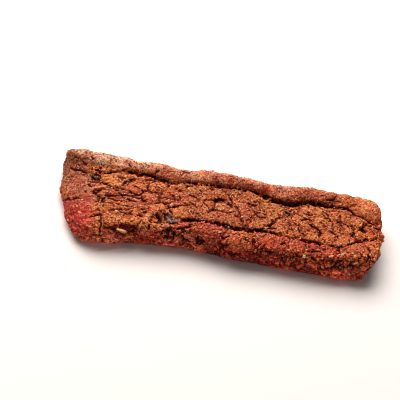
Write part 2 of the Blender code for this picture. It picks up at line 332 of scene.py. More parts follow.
# ---------------------------------------------------------------- what the photo shows on the bar
# Cracks on the top: places along them, half width and depth
CRACKS = {
    "beyond the hollow": (
        [(-50.0, 8.4), (-48.4, 9.1), (-47.0, 9.0), (-45.7, 8.4), (-44.4, 8.0), (-43.0, 8.4), (-41.5, 9.3), (-40.0, 9.7),
         (-38.5, 10.2), (-36.6, 11.0)], 0.36, 0.8),
    "from the hollow towards the middle": (
        [(-45.4, 5.4), (-44.4, 4.2), (-43.0, 3.1), (-41.6, 2.3), (-40.2, 1.8), (-38.3, 2.2), (-36.6, 1.9), (-34.8, 1.7)],
        0.36, 0.9),
    "further to the middle": ([(-34.8, 1.7), (-33.0, 1.0), (-31.0, 0.6), (-29.3, 0.9)], 0.24, 0.5),
    "round the three-cornered chunk": ([(-37.8, 2.4), (-36.8, 4.5), (-35.6, 6.0), (-34.0, 7.0), (-32.6, 7.6)], 0.34, 0.8),
    "below the hollow": ([(-49.8, 3.4), (-49.0, 2.3), (-48.3, 1.0)], 0.3, 0.6),
    "dots in the chunk": ([(-39.1, 7.2), (-38.1, 7.0), (-37.0, 7.4)], 0.34, 0.5),
    "up from the far crease": ([(-25.7, 10.6), (-25.1, 11.6), (-24.6, 12.3)], 0.45, 0.8),
    "far crease, end": (
        [(43.0, 8.3), (45.0, 8.6), (46.8, 8.4), (48.4, 7.7), (49.6, 6.8), (51.0, 5.8), (52.6, 5.0), (54.0, 4.2), (55.2, 3.2),
         (56.6, 2.8), (58.2, 3.0)], 0.34, 0.9),
    "blob by the pinched end": ([(-46.6, -5.3), (-45.0, -4.7), (-43.9, -4.2), (-43.1, -3.3)], 0.62, 1.1),
    "slanting, by the pinched end": ([(-47.6, -1.0), (-46.4, -2.5), (-45.4, -3.6), (-44.6, -4.3)], 0.28, 0.7),
    "small, by the pinched end": ([(-47.3, -0.3), (-46.6, 0.4), (-44.8, 0.6), (-43.0, 0.9)], 0.36, 0.8),
    "small, by the pinched end, second": ([(-47.5, -0.4), (-46.6, -1.2), (-45.9, -1.6)], 0.45, 0.8),
    "fibre 1": ([(-42.6, -1.8), (-40.6, -2.0), (-39.4, -2.6)], 0.26, 0.6),
    "fibre 2": ([(-38.8, -1.4), (-37.0, -1.6), (-35.7, -2.4), (-34.0, -3.0), (-32.2, -3.2), (-30.8, -3.9)], 0.3, 0.7),
    "fibre 3": ([(-43.0, -5.9), (-40.5, -5.6), (-38.0, -5.5), (-34.0, -6.1), (-30.8, -6.7)], 0.24, 0.5),
    "fibre 4": ([(-41.0, -7.9), (-39.2, -8.6), (-37.2, -9.0), (-35.0, -9.5), (-32.8, -9.6)], 0.34, 0.7),
    "fibre 5": ([(-41.2, -0.9), (-38.4, -0.5), (-36.0, -0.6), (-33.6, -1.0), (-30.5, -1.4), (-27.0, -1.0)], 0.22, 0.45),
    "fibre 6": ([(-34.0, 4.6), (-31.4, 3.6), (-29.6, 2.6), (-27.2, 2.2), (-24.6, 2.6)], 0.24, 0.5),
    "fibre 7": ([(-31.0, 6.4), (-28.0, 5.6), (-25.0, 5.2), (-22.6, 4.4)], 0.22, 0.45),
    "fibre 8": ([(-26.0, 0.6), (-23.6, 0.1), (-21.2, 0.6), (-18.8, 0.4)], 0.24, 0.5),
    "down the near edge, left": ([(-44.6, -10.8), (-44.0, -12.4), (-44.3, -13.8), (-43.4, -15.4), (-43.8, -17.4), (-43.0, -19.5)], 0.32, 0.9),
    "beside it": ([(-48.4, -12.3), (-46.5, -11.6), (-44.6, -11.0)], 0.3, 0.6),
    "end of the flake": ([(-27.4, -10.8), (-26.2, -12.0), (-26.6, -13.4), (-27.2, -14.6)], 0.34, 0.8),
    "dark spot before the crease 1": ([(-30.9, -9.1), (-29.9, -9.5)], 0.6, 0.9),
    "dark spot before the crease 2": ([(-24.4, -8.6), (-23.0, -9.3), (-21.9, -10.1)], 0.7, 1.2),
    "dark spots, left of the middle": ([(-29.9, -6.0), (-29.2, -7.0), (-27.9, -7.5)], 0.5, 0.8),
    "above the purple patch": (
        [(-23.2, -1.3), (-21.8, -2.2), (-20.4, -3.1), (-18.8, -3.3), (-17.4, -2.6), (-15.8, -2.0), (-14.2, -1.7), (-12.8, -1.4)],
        0.42, 1.0),
    "down to the purple patch": ([(-20.2, -3.2), (-19.5, -4.9), (-18.8, -6.4), (-18.5, -7.6)], 0.32, 0.8),
    "field, left of the middle 1": ([(-16.6, 2.5), (-15.9, 1.6), (-16.2, 0.5)], 0.32, 0.6),
    "field, left of the middle 2": ([(-13.2, 0.8), (-11.6, -0.1), (-10.2, -0.9), (-9.6, -2.2)], 0.28, 0.6),
    "field, left of the middle 3": ([(-13.6, 4.3), (-12.0, 3.9), (-10.6, 3.2), (-9.2, 3.6)], 0.26, 0.6),
    "left of the hole": ([(-7.2, 1.6), (-6.4, 0.2), (-5.6, -1.4), (-5.2, -3.2)], 0.32, 0.8),
    "hole in the middle, second part": ([(1.2, 2.2), (2.4, 2.0), (3.2, 2.8)], 0.5, 0.9),
    "from the hole to the crease": ([(0.8, 6.8), (2.4, 6.2), (3.0, 4.6), (3.4, 3.0)], 0.3, 0.7),
    "right of the hole": ([(4.2, 2.2), (5.4, 0.6), (5.8, -1.2), (6.6, -3.0), (7.0, -4.6)], 0.32, 0.8),
    "field, right of the middle 1": ([(8.6, 4.0), (10.8, 3.4), (13.0, 3.9), (14.4, 2.6)], 0.26, 0.6),
    "field, right of the middle 2": ([(11.0, 1.6), (11.6, 0.0), (12.8, -1.4), (14.6, -1.9), (16.6, -1.5)], 0.3, 0.7),
    "field, right of the middle 3": ([(8.2, -4.6), (9.6, -3.0), (11.6, -2.0)], 0.26, 0.6),
    "below the start of the near crease": ([(-17.0, -13.2), (-14.3, -12.4), (-12.4, -11.4), (-11.6, -10.0)], 0.5, 1.0),
    "slanting across the field": ([(20.4, -1.7), (18.6, -3.6), (16.8, -5.0), (15.2, -6.4), (13.9, -8.0)], 0.42, 1.0),
    "beside the slanting crack": ([(16.2, -5.6), (18.0, -6.2), (19.6, -6.0)], 0.4, 0.8),
    "fan 1": ([(-19.0, -12.0), (-19.4, -15.0), (-19.5, -18.0)], 0.4, 0.9),
    "fan 2": ([(-20.2, -15.0), (-22.4, -18.4)], 0.34, 0.8),
    "fan 3": ([(-17.6, -14.5), (-16.4, -17.5)], 0.3, 0.7),
    "in the lobe 1": ([(-9.4, -14.4), (-8.2, -15.2), (-6.4, -15.0)], 0.5, 0.9),
    "in the lobe 2": ([(-1.2, -13.6), (0.2, -14.4), (1.4, -13.6), (2.4, -12.8)], 0.36, 0.8),
    "in the lobe 3": ([(10.6, -12.6), (11.4, -13.8), (10.8, -15.4)], 0.45, 0.9),
    "in the lobe 4": ([(20.6, -14.2), (22.2, -13.4), (23.0, -12.0)], 0.32, 0.7),
    "in the lobe 5": ([(31.0, -14.6), (33.0, -15.2), (34.6, -14.4)], 0.4, 0.8),
    "notch in the rim, right": ([(38.8, 10.3), (40.2, 10.7), (41.8, 11.1), (42.8, 12.2)], 0.44, 0.7),
    "beside the notch in the rim": ([(41.2, 10.2), (43.0, 10.6), (44.6, 10.4)], 0.3, 0.4),
    "notch in the rim, middle": ([(-16.2, 13.4), (-15.2, 13.2), (-14.0, 13.2), (-13.0, 12.6)], 0.42, 0.6),
    "down to the hole, right": ([(52.2, 4.0), (52.6, 2.4), (52.7, 0.6), (52.6, -0.6)], 0.26, 0.5),
    "hole, right": ([(52.5, -0.4), (53.0, -1.2)], 0.8, 1.6),
    "down from the near crease": ([(43.1, -10.4), (42.8, -12.7), (43.1, -14.6)], 0.36, 0.9),
    "by the blunt end 1": ([(48.2, -3.0), (49.0, -5.0), (50.2, -6.6)], 0.3, 0.7),
    "by the blunt end 2": ([(55.0, 0.8), (56.4, -0.6), (57.6, -2.4)], 0.3, 0.7),
    "by the blunt end 3": ([(57.0, 1.4), (58.6, 0.8), (60.0, 1.2)], 0.34, 0.8),
    "in the right of the field 1": ([(31.5, -1.4), (33.5, -2.1), (35.2, -3.0), (36.2, -4.4), (37.6, -5.6)], 0.36, 0.9),
    "in the right of the field 2": ([(44.2, 3.0), (45.4, 1.4), (46.8, 0.8), (47.4, -0.8)], 0.3, 0.7),
    "in the right of the field 3": ([(22.4, 2.6), (24.6, 2.2), (26.0, 0.8), (25.4, -0.8)], 0.3, 0.7),
    "in the right of the field 4": ([(29.6, 4.6), (30.6, 3.0), (32.6, 2.6), (34.6, 3.4)], 0.28, 0.7),
    "in the right of the field 5": ([(37.6, 4.2), (38.4, 2.6), (40.4, 1.8), (41.4, 0.2), (40.8, -1.6)], 0.3, 0.7),
    "in the right of the field 6": ([(28.2, -3.4), (27.6, -5.0), (28.8, -6.6), (30.6, -7.0)], 0.3, 0.7),
    "in the right of the field 7": ([(39.6, -3.4), (41.6, -4.0), (42.8, -5.6), (42.2, -7.4)], 0.3, 0.7),
    "spot in the right of the field": ([(25.2, -5.5), (25.8, -5.8)], 0.5, 0.9),
    "under the right corner": ([(54.0, -8.9), (54.6, -11.8), (54.8, -14.8)], 0.5, 0.9),
    "spot on the rim, left 1": ([(-52.5, 11.6), (-51.4, 10.9)], 0.42, 0.6),
    "spot on the rim, left 2": ([(-49.5, 13.3), (-49.1, 13.0)], 0.45, 0.6),
    "spot on the rim, left 3": ([(-35.5, 12.9), (-35.1, 12.6)], 0.4, 0.5),
}  # fmt: skip

# More of them, at their places in the photo's frame: places, half width in pixels and depth in mm
PHOTO_CRACKS = [
    ([(71.0, 167.5), (76.0, 169.0), (82.0, 168.8), (86.5, 171.6)], 0.85, 0.7), ([(156.5, 212.5), (159.5, 216.0), (161.5, 220.5)], 2.0, 1.2),
    ([(169.0, 226.0), (167.5, 233.0), (163.5, 241.0)], 0.9, 0.8), ([(172.0, 229.0), (173.5, 238.0)], 0.8, 0.7),
    ([(165.5, 229.0), (159.0, 238.0)], 0.8, 0.7), ([(215.5, 199.5), (218.5, 197.5), (222.0, 197.0), (225.5, 199.0)], 2.1, 1.2),
    ([(228.0, 200.5), (230.5, 204.0), (234.0, 207.0)], 1.1, 0.9), ([(362.0, 240.2), (366.0, 237.8), (371.0, 239.2), (377.0, 237.2)], 0.5, 0.4),
    ([(360.5, 252.0), (362.6, 255.0), (359.0, 259.0), (360.0, 262.0)], 0.9, 0.8), ([(369.0, 254.5), (370.0, 257.5), (366.6, 260.0), (367.2, 263.0)], 0.9, 0.8),
    ([(350.0, 263.0), (354.0, 267.0), (352.0, 272.0)], 1.2, 0.9), ([(295.5, 253.5), (300.0, 257.5)], 1.4, 0.8),
    ([(311.0, 256.0), (314.0, 259.5), (318.0, 260.0)], 1.2, 0.8), ([(332.0, 260.0), (336.0, 264.0), (340.0, 263.0)], 1.2, 0.8),
    ([(195.0, 237.5), (199.0, 243.0), (203.5, 241.0)], 1.5, 0.9), ([(246.0, 237.0), (249.5, 242.5)], 1.4, 0.8),
    ([(217.0, 243.0), (223.0, 247.0), (229.0, 246.0)], 1.3, 0.8), ([(262.0, 247.0), (267.0, 252.0), (273.0, 252.5)], 1.3, 0.8),
    ([(281.0, 256.0), (284.0, 260.5)], 1.2, 0.8), ([(182.0, 236.0), (186.0, 241.0), (191.0, 242.0)], 1.2, 0.8),
    ([(92.0, 173.0), (94.0, 177.0), (97.0, 180.0)], 0.8, 0.4), ([(95.0, 172.0), (99.0, 174.0), (101.0, 177.5)], 0.8, 0.4),
    ([(324.0, 210.5), (329.0, 213.5), (330.0, 218.0)], 0.8, 0.6), ([(286.0, 216.0), (291.0, 213.5), (297.0, 212.5), (303.0, 214.5)], 0.8, 0.6),
    ([(300.5, 219.5), (306.0, 217.0), (312.5, 218.5)], 0.7, 0.6), ([(319.0, 227.0), (321.0, 231.5), (319.5, 236.0)], 0.9, 0.7),
    ([(352.0, 226.0), (354.5, 231.0), (352.0, 235.5)], 0.8, 0.6), ([(338.0, 219.5), (342.0, 222.0), (343.0, 226.5)], 0.8, 0.6),
]  # fmt: skip

# Chunks at their places in the photo's frame: x, y, half length and half width in pixels, turn in degrees clockwise,
# height in mm and colour
GOLDEN, AMBER, BRICK, ROSE, YELLOWISH = "golden", "amber", "brick", "rose", "yellowish"
CHUNKS = [
    (181.0, 211.0, 12.5, 6.2, 6, 0.5, GOLDEN), (224.5, 206.0, 9.5, 4.2, 10, 0.5, YELLOWISH), (227.0, 217.0, 12.5, 6.4, 10, 0.45, AMBER),
    (210.5, 203.5, 4.2, 4.2, 20, 0.35, AMBER), (186.5, 196.5, 8.5, 3.6, 10, 0.4, AMBER), (206.0, 190.6, 14.0, 4.0, 12, 0.35, GOLDEN),
    (246.0, 209.0, 6.8, 6.6, 0, 0.35, BRICK), (271.0, 214.5, 13.0, 6.0, -28, 0.5, GOLDEN), (249.5, 195.8, 15.0, 4.6, 14, 0.35, AMBER),
    (262.5, 199.0, 7.5, 2.6, 24, 0.4, YELLOWISH), (207.0, 228.0, 17.0, 5.2, 12, 0.4, ROSE), (239.0, 236.5, 12.5, 5.2, 4, 0.4, GOLDEN),
    (161.5, 208.3, 7.0, 6.0, -30, 0.55, GOLDEN), (177.0, 178.5, 10.5, 4.8, 16, 0.4, AMBER), (335.0, 214.8, 5.2, 4.4, 0, 0.4, GOLDEN),
    (313.8, 233.6, 5.6, 4.4, 20, 0.4, GOLDEN), (345.5, 213.6, 5.2, 4.0, 10, 0.4, AMBER), (327.5, 236.0, 6.2, 3.8, 5, 0.35, AMBER),
    (345.5, 239.0, 6.6, 4.6, -5, 0.45, GOLDEN), (358.5, 222.0, 5.6, 5.0, 10, 0.4, GOLDEN), (281.5, 223.0, 8.5, 6.0, 15, 0.4, AMBER),
    (353.0, 250.0, 11.5, 5.0, -5, 0.5, AMBER), (375.5, 249.0, 4.4, 4.8, -60, 0.5, YELLOWISH), (297.5, 244.5, 8.0, 4.6, 10, 0.4, GOLDEN),
    (313.5, 248.5, 6.8, 4.4, 10, 0.4, BRICK), (329.0, 248.5, 8.0, 4.2, 5, 0.4, AMBER), (370.0, 209.0, 8.0, 6.6, 25, 0.4, GOLDEN),
    (295.0, 217.0, 7.0, 4.6, 10, 0.35, BRICK), (310.0, 213.0, 6.4, 4.4, 15, 0.35, ROSE), (320.5, 222.0, 6.2, 4.6, 20, 0.4, AMBER),
    (335.5, 225.5, 6.0, 4.6, 10, 0.4, AMBER), (348.0, 227.5, 5.4, 4.8, -20, 0.4, GOLDEN), (296.5, 229.5, 6.8, 4.6, 10, 0.35, AMBER),
    (307.0, 223.5, 5.0, 4.4, 0, 0.35, BRICK), (366.0, 232.0, 5.8, 4.6, -10, 0.35, AMBER), (330.5, 207.0, 5.0, 2.8, 15, 0.3, BRICK),
    (118.8, 178.2, 12.0, 6.6, 8, 0.5, YELLOWISH), (136.0, 184.5, 11.0, 4.6, 12, 0.4, AMBER), (113.5, 203.0, 12.0, 3.6, 4, 0.4, GOLDEN),
    (115.0, 190.2, 14.0, 3.0, 5, 0.4, AMBER), (127.0, 196.0, 15.0, 3.0, 12, 0.35, ROSE), (146.0, 222.0, 4.6, 6.4, 8, 0.5, YELLOWISH),
    (128.0, 216.4, 15.0, 5.4, 6, 0.4, GOLDEN), (95.5, 183.5, 7.0, 3.4, 12, 0.4, AMBER), (152.0, 194.0, 8.5, 4.4, 15, 0.35, BRICK),
    (159.0, 187.5, 8.5, 3.6, 10, 0.35, AMBER), (152.5, 166.5, 10.0, 5.6, 10, 0.3, ROSE), (113.5, 163.5, 12.5, 6.0, 12, 0.3, YELLOWISH),
    (80.5, 158.0, 8.0, 7.0, 20, 0.35, BRICK), (96.5, 226.0, 4.6, 8.0, 10, 0.35, GOLDEN), (80.0, 181.0, 5.0, 7.0, -10, 0.2, YELLOWISH),
    (167.0, 196.0, 6.5, 3.6, 5, 0.35, BRICK), (266.5, 236.5, 10.0, 4.0, 8, 0.35, AMBER), (283.0, 241.5, 8.0, 4.0, 12, 0.35, AMBER),
]  # fmt: skip

# Places where the outline is drawn in: x, y, z, radius and depth
NOTCHES = [
    (-59.6, 4.2, 8.0, 1.5, 0.9), (-15.6, 17.0, 10.0, 2.4, 1.0), (-32.0, 17.4, 10.0, 1.8, 0.5), (6.0, 17.4, 10.5, 2.2, 0.4),
    (-28.0, -16.0, 3.0, 3.4, 0.9), (-52.0, -17.0, 2.5, 2.6, 0.5), (-2.0, -16.6, 3.0, 2.2, 0.8), (13.0, -17.5, 2.5, 2.4, 0.7),
    (33.0, -18.0, 2.0, 2.6, 0.7), (50.0, -18.0, 4.0, 2.0, 0.6), (57.4, -15.6, 1.6, 2.6, 1.6), (60.4, -6.5, 6.0, 2.0, 0.7), (61.5, 4.5, 6.0, 1.8, 0.6),
]  # fmt: skip

# Places where it swells out: x, y, z, radius and height
BULGES = [
    (-58.4, 16.4, 9.4, 2.4, 1.6), (-59.4, 8.6, 8.0, 2.2, 0.9), (-52.5, 17.0, 10.0, 2.6, 0.4), (-45.8, 17.2, 10.5, 1.8, 0.6),
    (-6.0, 17.6, 10.5, 4.0, 0.7), (-21.0, 16.4, 10.6, 4.5, 0.8), (3.0, 17.0, 10.8, 4.0, 0.5), (-24.0, 16.6, 10.5, 3.0, 0.4), (44.0, -17.5, 2.0, 3.0, 0.5), (24.0, -17.8, 2.0, 2.6, 0.5),
    (-36.0, 17.4, 10.6, 4.0, 0.4), (-8.0, -15.6, 2.5, 2.4, 0.4), (-40.0, -17.4, 2.5, 3.0, 0.6),
]  # fmt: skip

# The crack across the face of the pinched end: places as (x, y), drawn wherever the face slopes
END_CRACK = [(-59.2, -2.2), (-57.8, -2.0), (-56.2, -2.6), (-54.8, -3.4), (-53.4, -3.0), (-51.6, -3.4)]


# Dark patches in the photo's frame (x, y, half length and half width in pixels, turn in degrees clockwise) and pale
# strands in them
DARK_PATCHES = [(170.3, 218.2, 8.6, 4.6, 24), (96.0, 176.4, 5.6, 4.4, 10)]
STRANDS = [
    [(164.4, 216.6), (166.8, 219.4), (170.0, 221.6)], [(167.4, 214.9), (170.4, 218.4), (173.8, 220.6)],
    [(171.4, 214.8), (174.0, 217.2), (177.2, 218.8)],
    [(91.6, 174.6), (93.6, 177.4), (95.2, 180.4)], [(94.4, 173.2), (96.4, 175.8), (98.2, 179.2)], [(97.4, 172.8), (99.2, 175.0), (100.8, 178.2)],
]  # fmt: skip

# Places that lie a little lower and are painted darker, the same way and with how much darker: painted shade in
# creases, holes and between lumps, and a few plain darker spots
SHADES = [
    (88.0, 198.0, 5.5, 5.5, 0, 0.35), (102.0, 197.0, 6.0, 6.0, 0, 0.58), (144.0, 207.5, 6.5, 5.0, 0, 0.5), (199.5, 213.8, 4.0, 3.4, 0, 0.75),
    (228.0, 224.0, 10.0, 2.8, 16, 0.85), (285.0, 205.5, 8.0, 4.0, 10, 0.5), (368.0, 213.0, 5.0, 5.0, 0, 0.35),
    (220.5, 198.8, 5.2, 2.2, -4, 0.85), (363.0, 228.4, 2.4, 2.0, 0, 0.8), (332.5, 201.0, 4.5, 2.6, 10, 0.5), (256.0, 241.0, 7.0, 3.0, 20, 0.4),
]  # fmt: skip

# Painted highlight streaks on the rim's far edge, the same way
RIM_HIGHLIGHT_STREAKS = [
    (178.0, 166.8, 6.0, 1.8, 18), (191.5, 167.0, 6.5, 1.6, 16), (211.5, 170.6, 7.5, 2.2, 16), (121.0, 161.6, 6.5, 2.6, 14), (148.0, 160.5, 8.0, 2.6, 12),
    (168.5, 163.0, 7.0, 2.2, 18), (243.0, 175.6, 10.0, 1.8, 16), (226.0, 172.4, 7.0, 1.6, 16), (266.0, 181.6, 10.0, 1.5, 16), (101.0, 156.4, 6.0, 2.0, 14),
    (130.0, 158.6, 6.0, 1.8, 14), (290.0, 186.0, 9.0, 1.3, 10), (318.0, 189.6, 9.0, 1.3, 10),
]  # fmt: skip


# Crumbs that stand out, at their places in the photo's 400 x 400 frame: x, y, radius in mm, how long, and colour
CREAM, TAN, YELLOW, ORANGE, GREY = "cream", "tan", "yellow", "orange", "grey"
CRUMBS = [
    (303.8, 256.2, 0.62, 1.5, CREAM), (329.4, 256.9, 0.4, 1.0, CREAM), (342.5, 255.0, 0.6, 1.2, GREY), (355.0, 256.9, 0.65, 1.1, YELLOW),
    (321.9, 266.9, 0.32, 2.4, CREAM), (348.1, 272.5, 0.5, 1.4, TAN), (340.0, 266.9, 0.4, 1.2, YELLOW), (345.6, 269.4, 0.45, 1.5, TAN),
    (300.0, 238.8, 0.35, 1.2, CREAM), (265.0, 228.0, 0.5, 1.5, CREAM), (269.5, 199.6, 0.55, 2.4, YELLOW), (280.6, 210.0, 0.42, 1.2, YELLOW),
    (290.6, 208.8, 0.35, 1.3, ORANGE), (319.4, 207.5, 0.5, 1.8, ORANGE), (376.9, 249.5, 0.6, 1.2, YELLOW), (377.6, 243.0, 0.5, 1.3, ORANGE),
    (348.8, 222.5, 0.35, 1.0, YELLOW), (195.0, 187.8, 0.42, 1.3, GREY), (202.8, 185.2, 0.42, 1.4, YELLOW), (197.8, 186.0, 0.36, 1.2, TAN),
    (171.1, 206.1, 0.4, 1.6, GREY), (223.9, 205.0, 0.5, 1.6, TAN), (230.6, 211.1, 0.38, 1.8, TAN), (234.4, 202.8, 0.45, 1.5, TAN),
    (212.8, 222.2, 0.36, 1.2, YELLOW), (226.0, 225.6, 0.32, 1.2, TAN), (255.0, 233.3, 0.32, 1.2, TAN), (181.7, 241.7, 0.36, 1.2, YELLOW),
    (146.3, 215.6, 0.38, 1.1, CREAM), (81.9, 200.0, 0.34, 1.1, CREAM), (68.1, 220.0, 0.4, 1.3, CREAM), (116.3, 211.9, 0.6, 1.3, TAN),
    (151.3, 206.9, 0.42, 1.6, TAN), (153.0, 209.5, 0.4, 1.2, ORANGE), (98.0, 233.8, 0.34, 1.2, YELLOW), (99.5, 236.4, 0.3, 1.2, YELLOW),
    (93.0, 216.0, 0.34, 1.2, YELLOW), (95.5, 220.0, 0.34, 1.2, TAN), (160.5, 229.0, 0.5, 1.5, TAN), (163.5, 232.0, 0.42, 1.3, ORANGE),
    (310.5, 262.0, 0.4, 1.2, TAN), (318.0, 259.5, 0.36, 1.2, ORANGE), (333.5, 262.5, 0.42, 1.3, ORANGE), (286.0, 254.0, 0.36, 1.2, TAN),
    (240.0, 193.5, 0.4, 1.5, YELLOW), (233.0, 194.0, 0.36, 1.2, TAN), (262.0, 221.0, 0.36, 1.3, YELLOW), (242.0, 217.0, 0.32, 1.2, CREAM),
]  # fmt: skip
CRUMB_ROD = (115.8, 230.8, 126.6, 234.4, 0.72)  # from, to and radius


def srgb(r, g, b):
    c = np.array([r, g, b]) / 255.0
    return np.where(c <= 0.04045, c / 12.92, ((c + 0.055) / 1.055) ** 2.4)


FIELD_COLOR = srgb(190, 88, 34)
FIELD_LIGHT = srgb(214, 126, 56)
FIELD_RED = srgb(180, 60, 28)
RIM_COLOR = srgb(186, 72, 36)
# the rim's pale colour, painted on as a highlight along its far shoulder
RIM_PAINTED_HIGHLIGHT = srgb(220, 170, 130)
LOBE_COLOR = srgb(200, 66, 32)
SIDE_COLOR = srgb(192, 8, 14)
SIDE_LIGHT = srgb(246, 92, 70)
CHUNK_COLORS = {
    GOLDEN: srgb(202, 108, 46), AMBER: srgb(192, 90, 38), BRICK: srgb(178, 66, 34), ROSE: srgb(186, 80, 54), YELLOWISH: srgb(212, 124, 58),
}  # fmt: skip
PINCH_COLOR = srgb(186, 32, 24)
PINCH_TOP = srgb(168, 84, 50)
PURPLE = srgb(180, 138, 142)


def end_line(y):
    """Where the face of the pinched end turns into the top."""
    return through([(-17, -47.3), (-13, -48.0), (-8, -47.0), (-2, -47.5), (4, -48.4), (9, -49.4), (13, -52.0), (16, -57.0)], y)


def near_polyline(p, points):
    """Distance from each point to a line through points (x, y), and how far along it is, from 0 to 1."""
    points = np.array(points, float)
    lengths = np.linalg.norm(np.diff(points, axis=0), axis=1)
    best = np.full(len(p), 99.0)
    along = np.zeros(len(p))
    done = 0.0
    for a, b, length in zip(points[:-1], points[1:], lengths):
        t = np.clip(((p - a) @ (b - a)) / length**2, 0.0, 1.0)
        d = np.linalg.norm(p - a - t[:, None] * (b - a), axis=1)
        closer = d < best
        best[closer] = d[closer]
        along[closer] = (done + t[closer] * length) / lengths.sum()
        done += length
    return best, along


def photo_chunks(p):
    """The chunks that the photo shows: distance in mm to the line between two of them, height, colour and where they lie."""
    nearest, second = np.full(len(p), 9.0), np.full(len(p), 9.0)
    size, other, height, tint = np.ones(len(p)), np.ones(len(p)), np.zeros(len(p)), np.zeros((len(p), 3))
    for px, py, a, b, turn, rise, color in CHUNKS:
        x0, y0 = on_top(px, py)
        du, dv = 2.787 * (p[:, 0] - x0), -2.03 * (p[:, 1] - y0 - 0.1914 * (p[:, 0] - x0))
        c, d = np.cos(np.radians(turn)), np.sin(np.radians(turn))
        r = np.hypot((du * c + dv * d) / a, (dv * c - du * d) / b)
        first = r < nearest
        close = ~first & (r < second)
        second[first], other[first] = nearest[first], size[first]
        second[close], other[close] = r[close], min(a, b) / 2.4
        nearest[first], size[first], height[first], tint[first] = r[first], min(a, b) / 2.4, rise, CHUNK_COLORS[color]
    return 0.25 * (second - nearest) * (size + other), height, tint, ramp(1.8, 1.4, nearest)


def spot_in_photo(at, x0, y0, a, b, turn, power):
    """A soft oval of 1 around a pixel of the photo."""
    c, d = np.cos(np.radians(turn)), np.sin(np.radians(turn))
    du, dv = at[:, 0] - x0, at[:, 1] - y0
    return np.exp(-np.abs((du * c + dv * d) / a) ** power - np.abs((dv * c - du * d) / b) ** power)


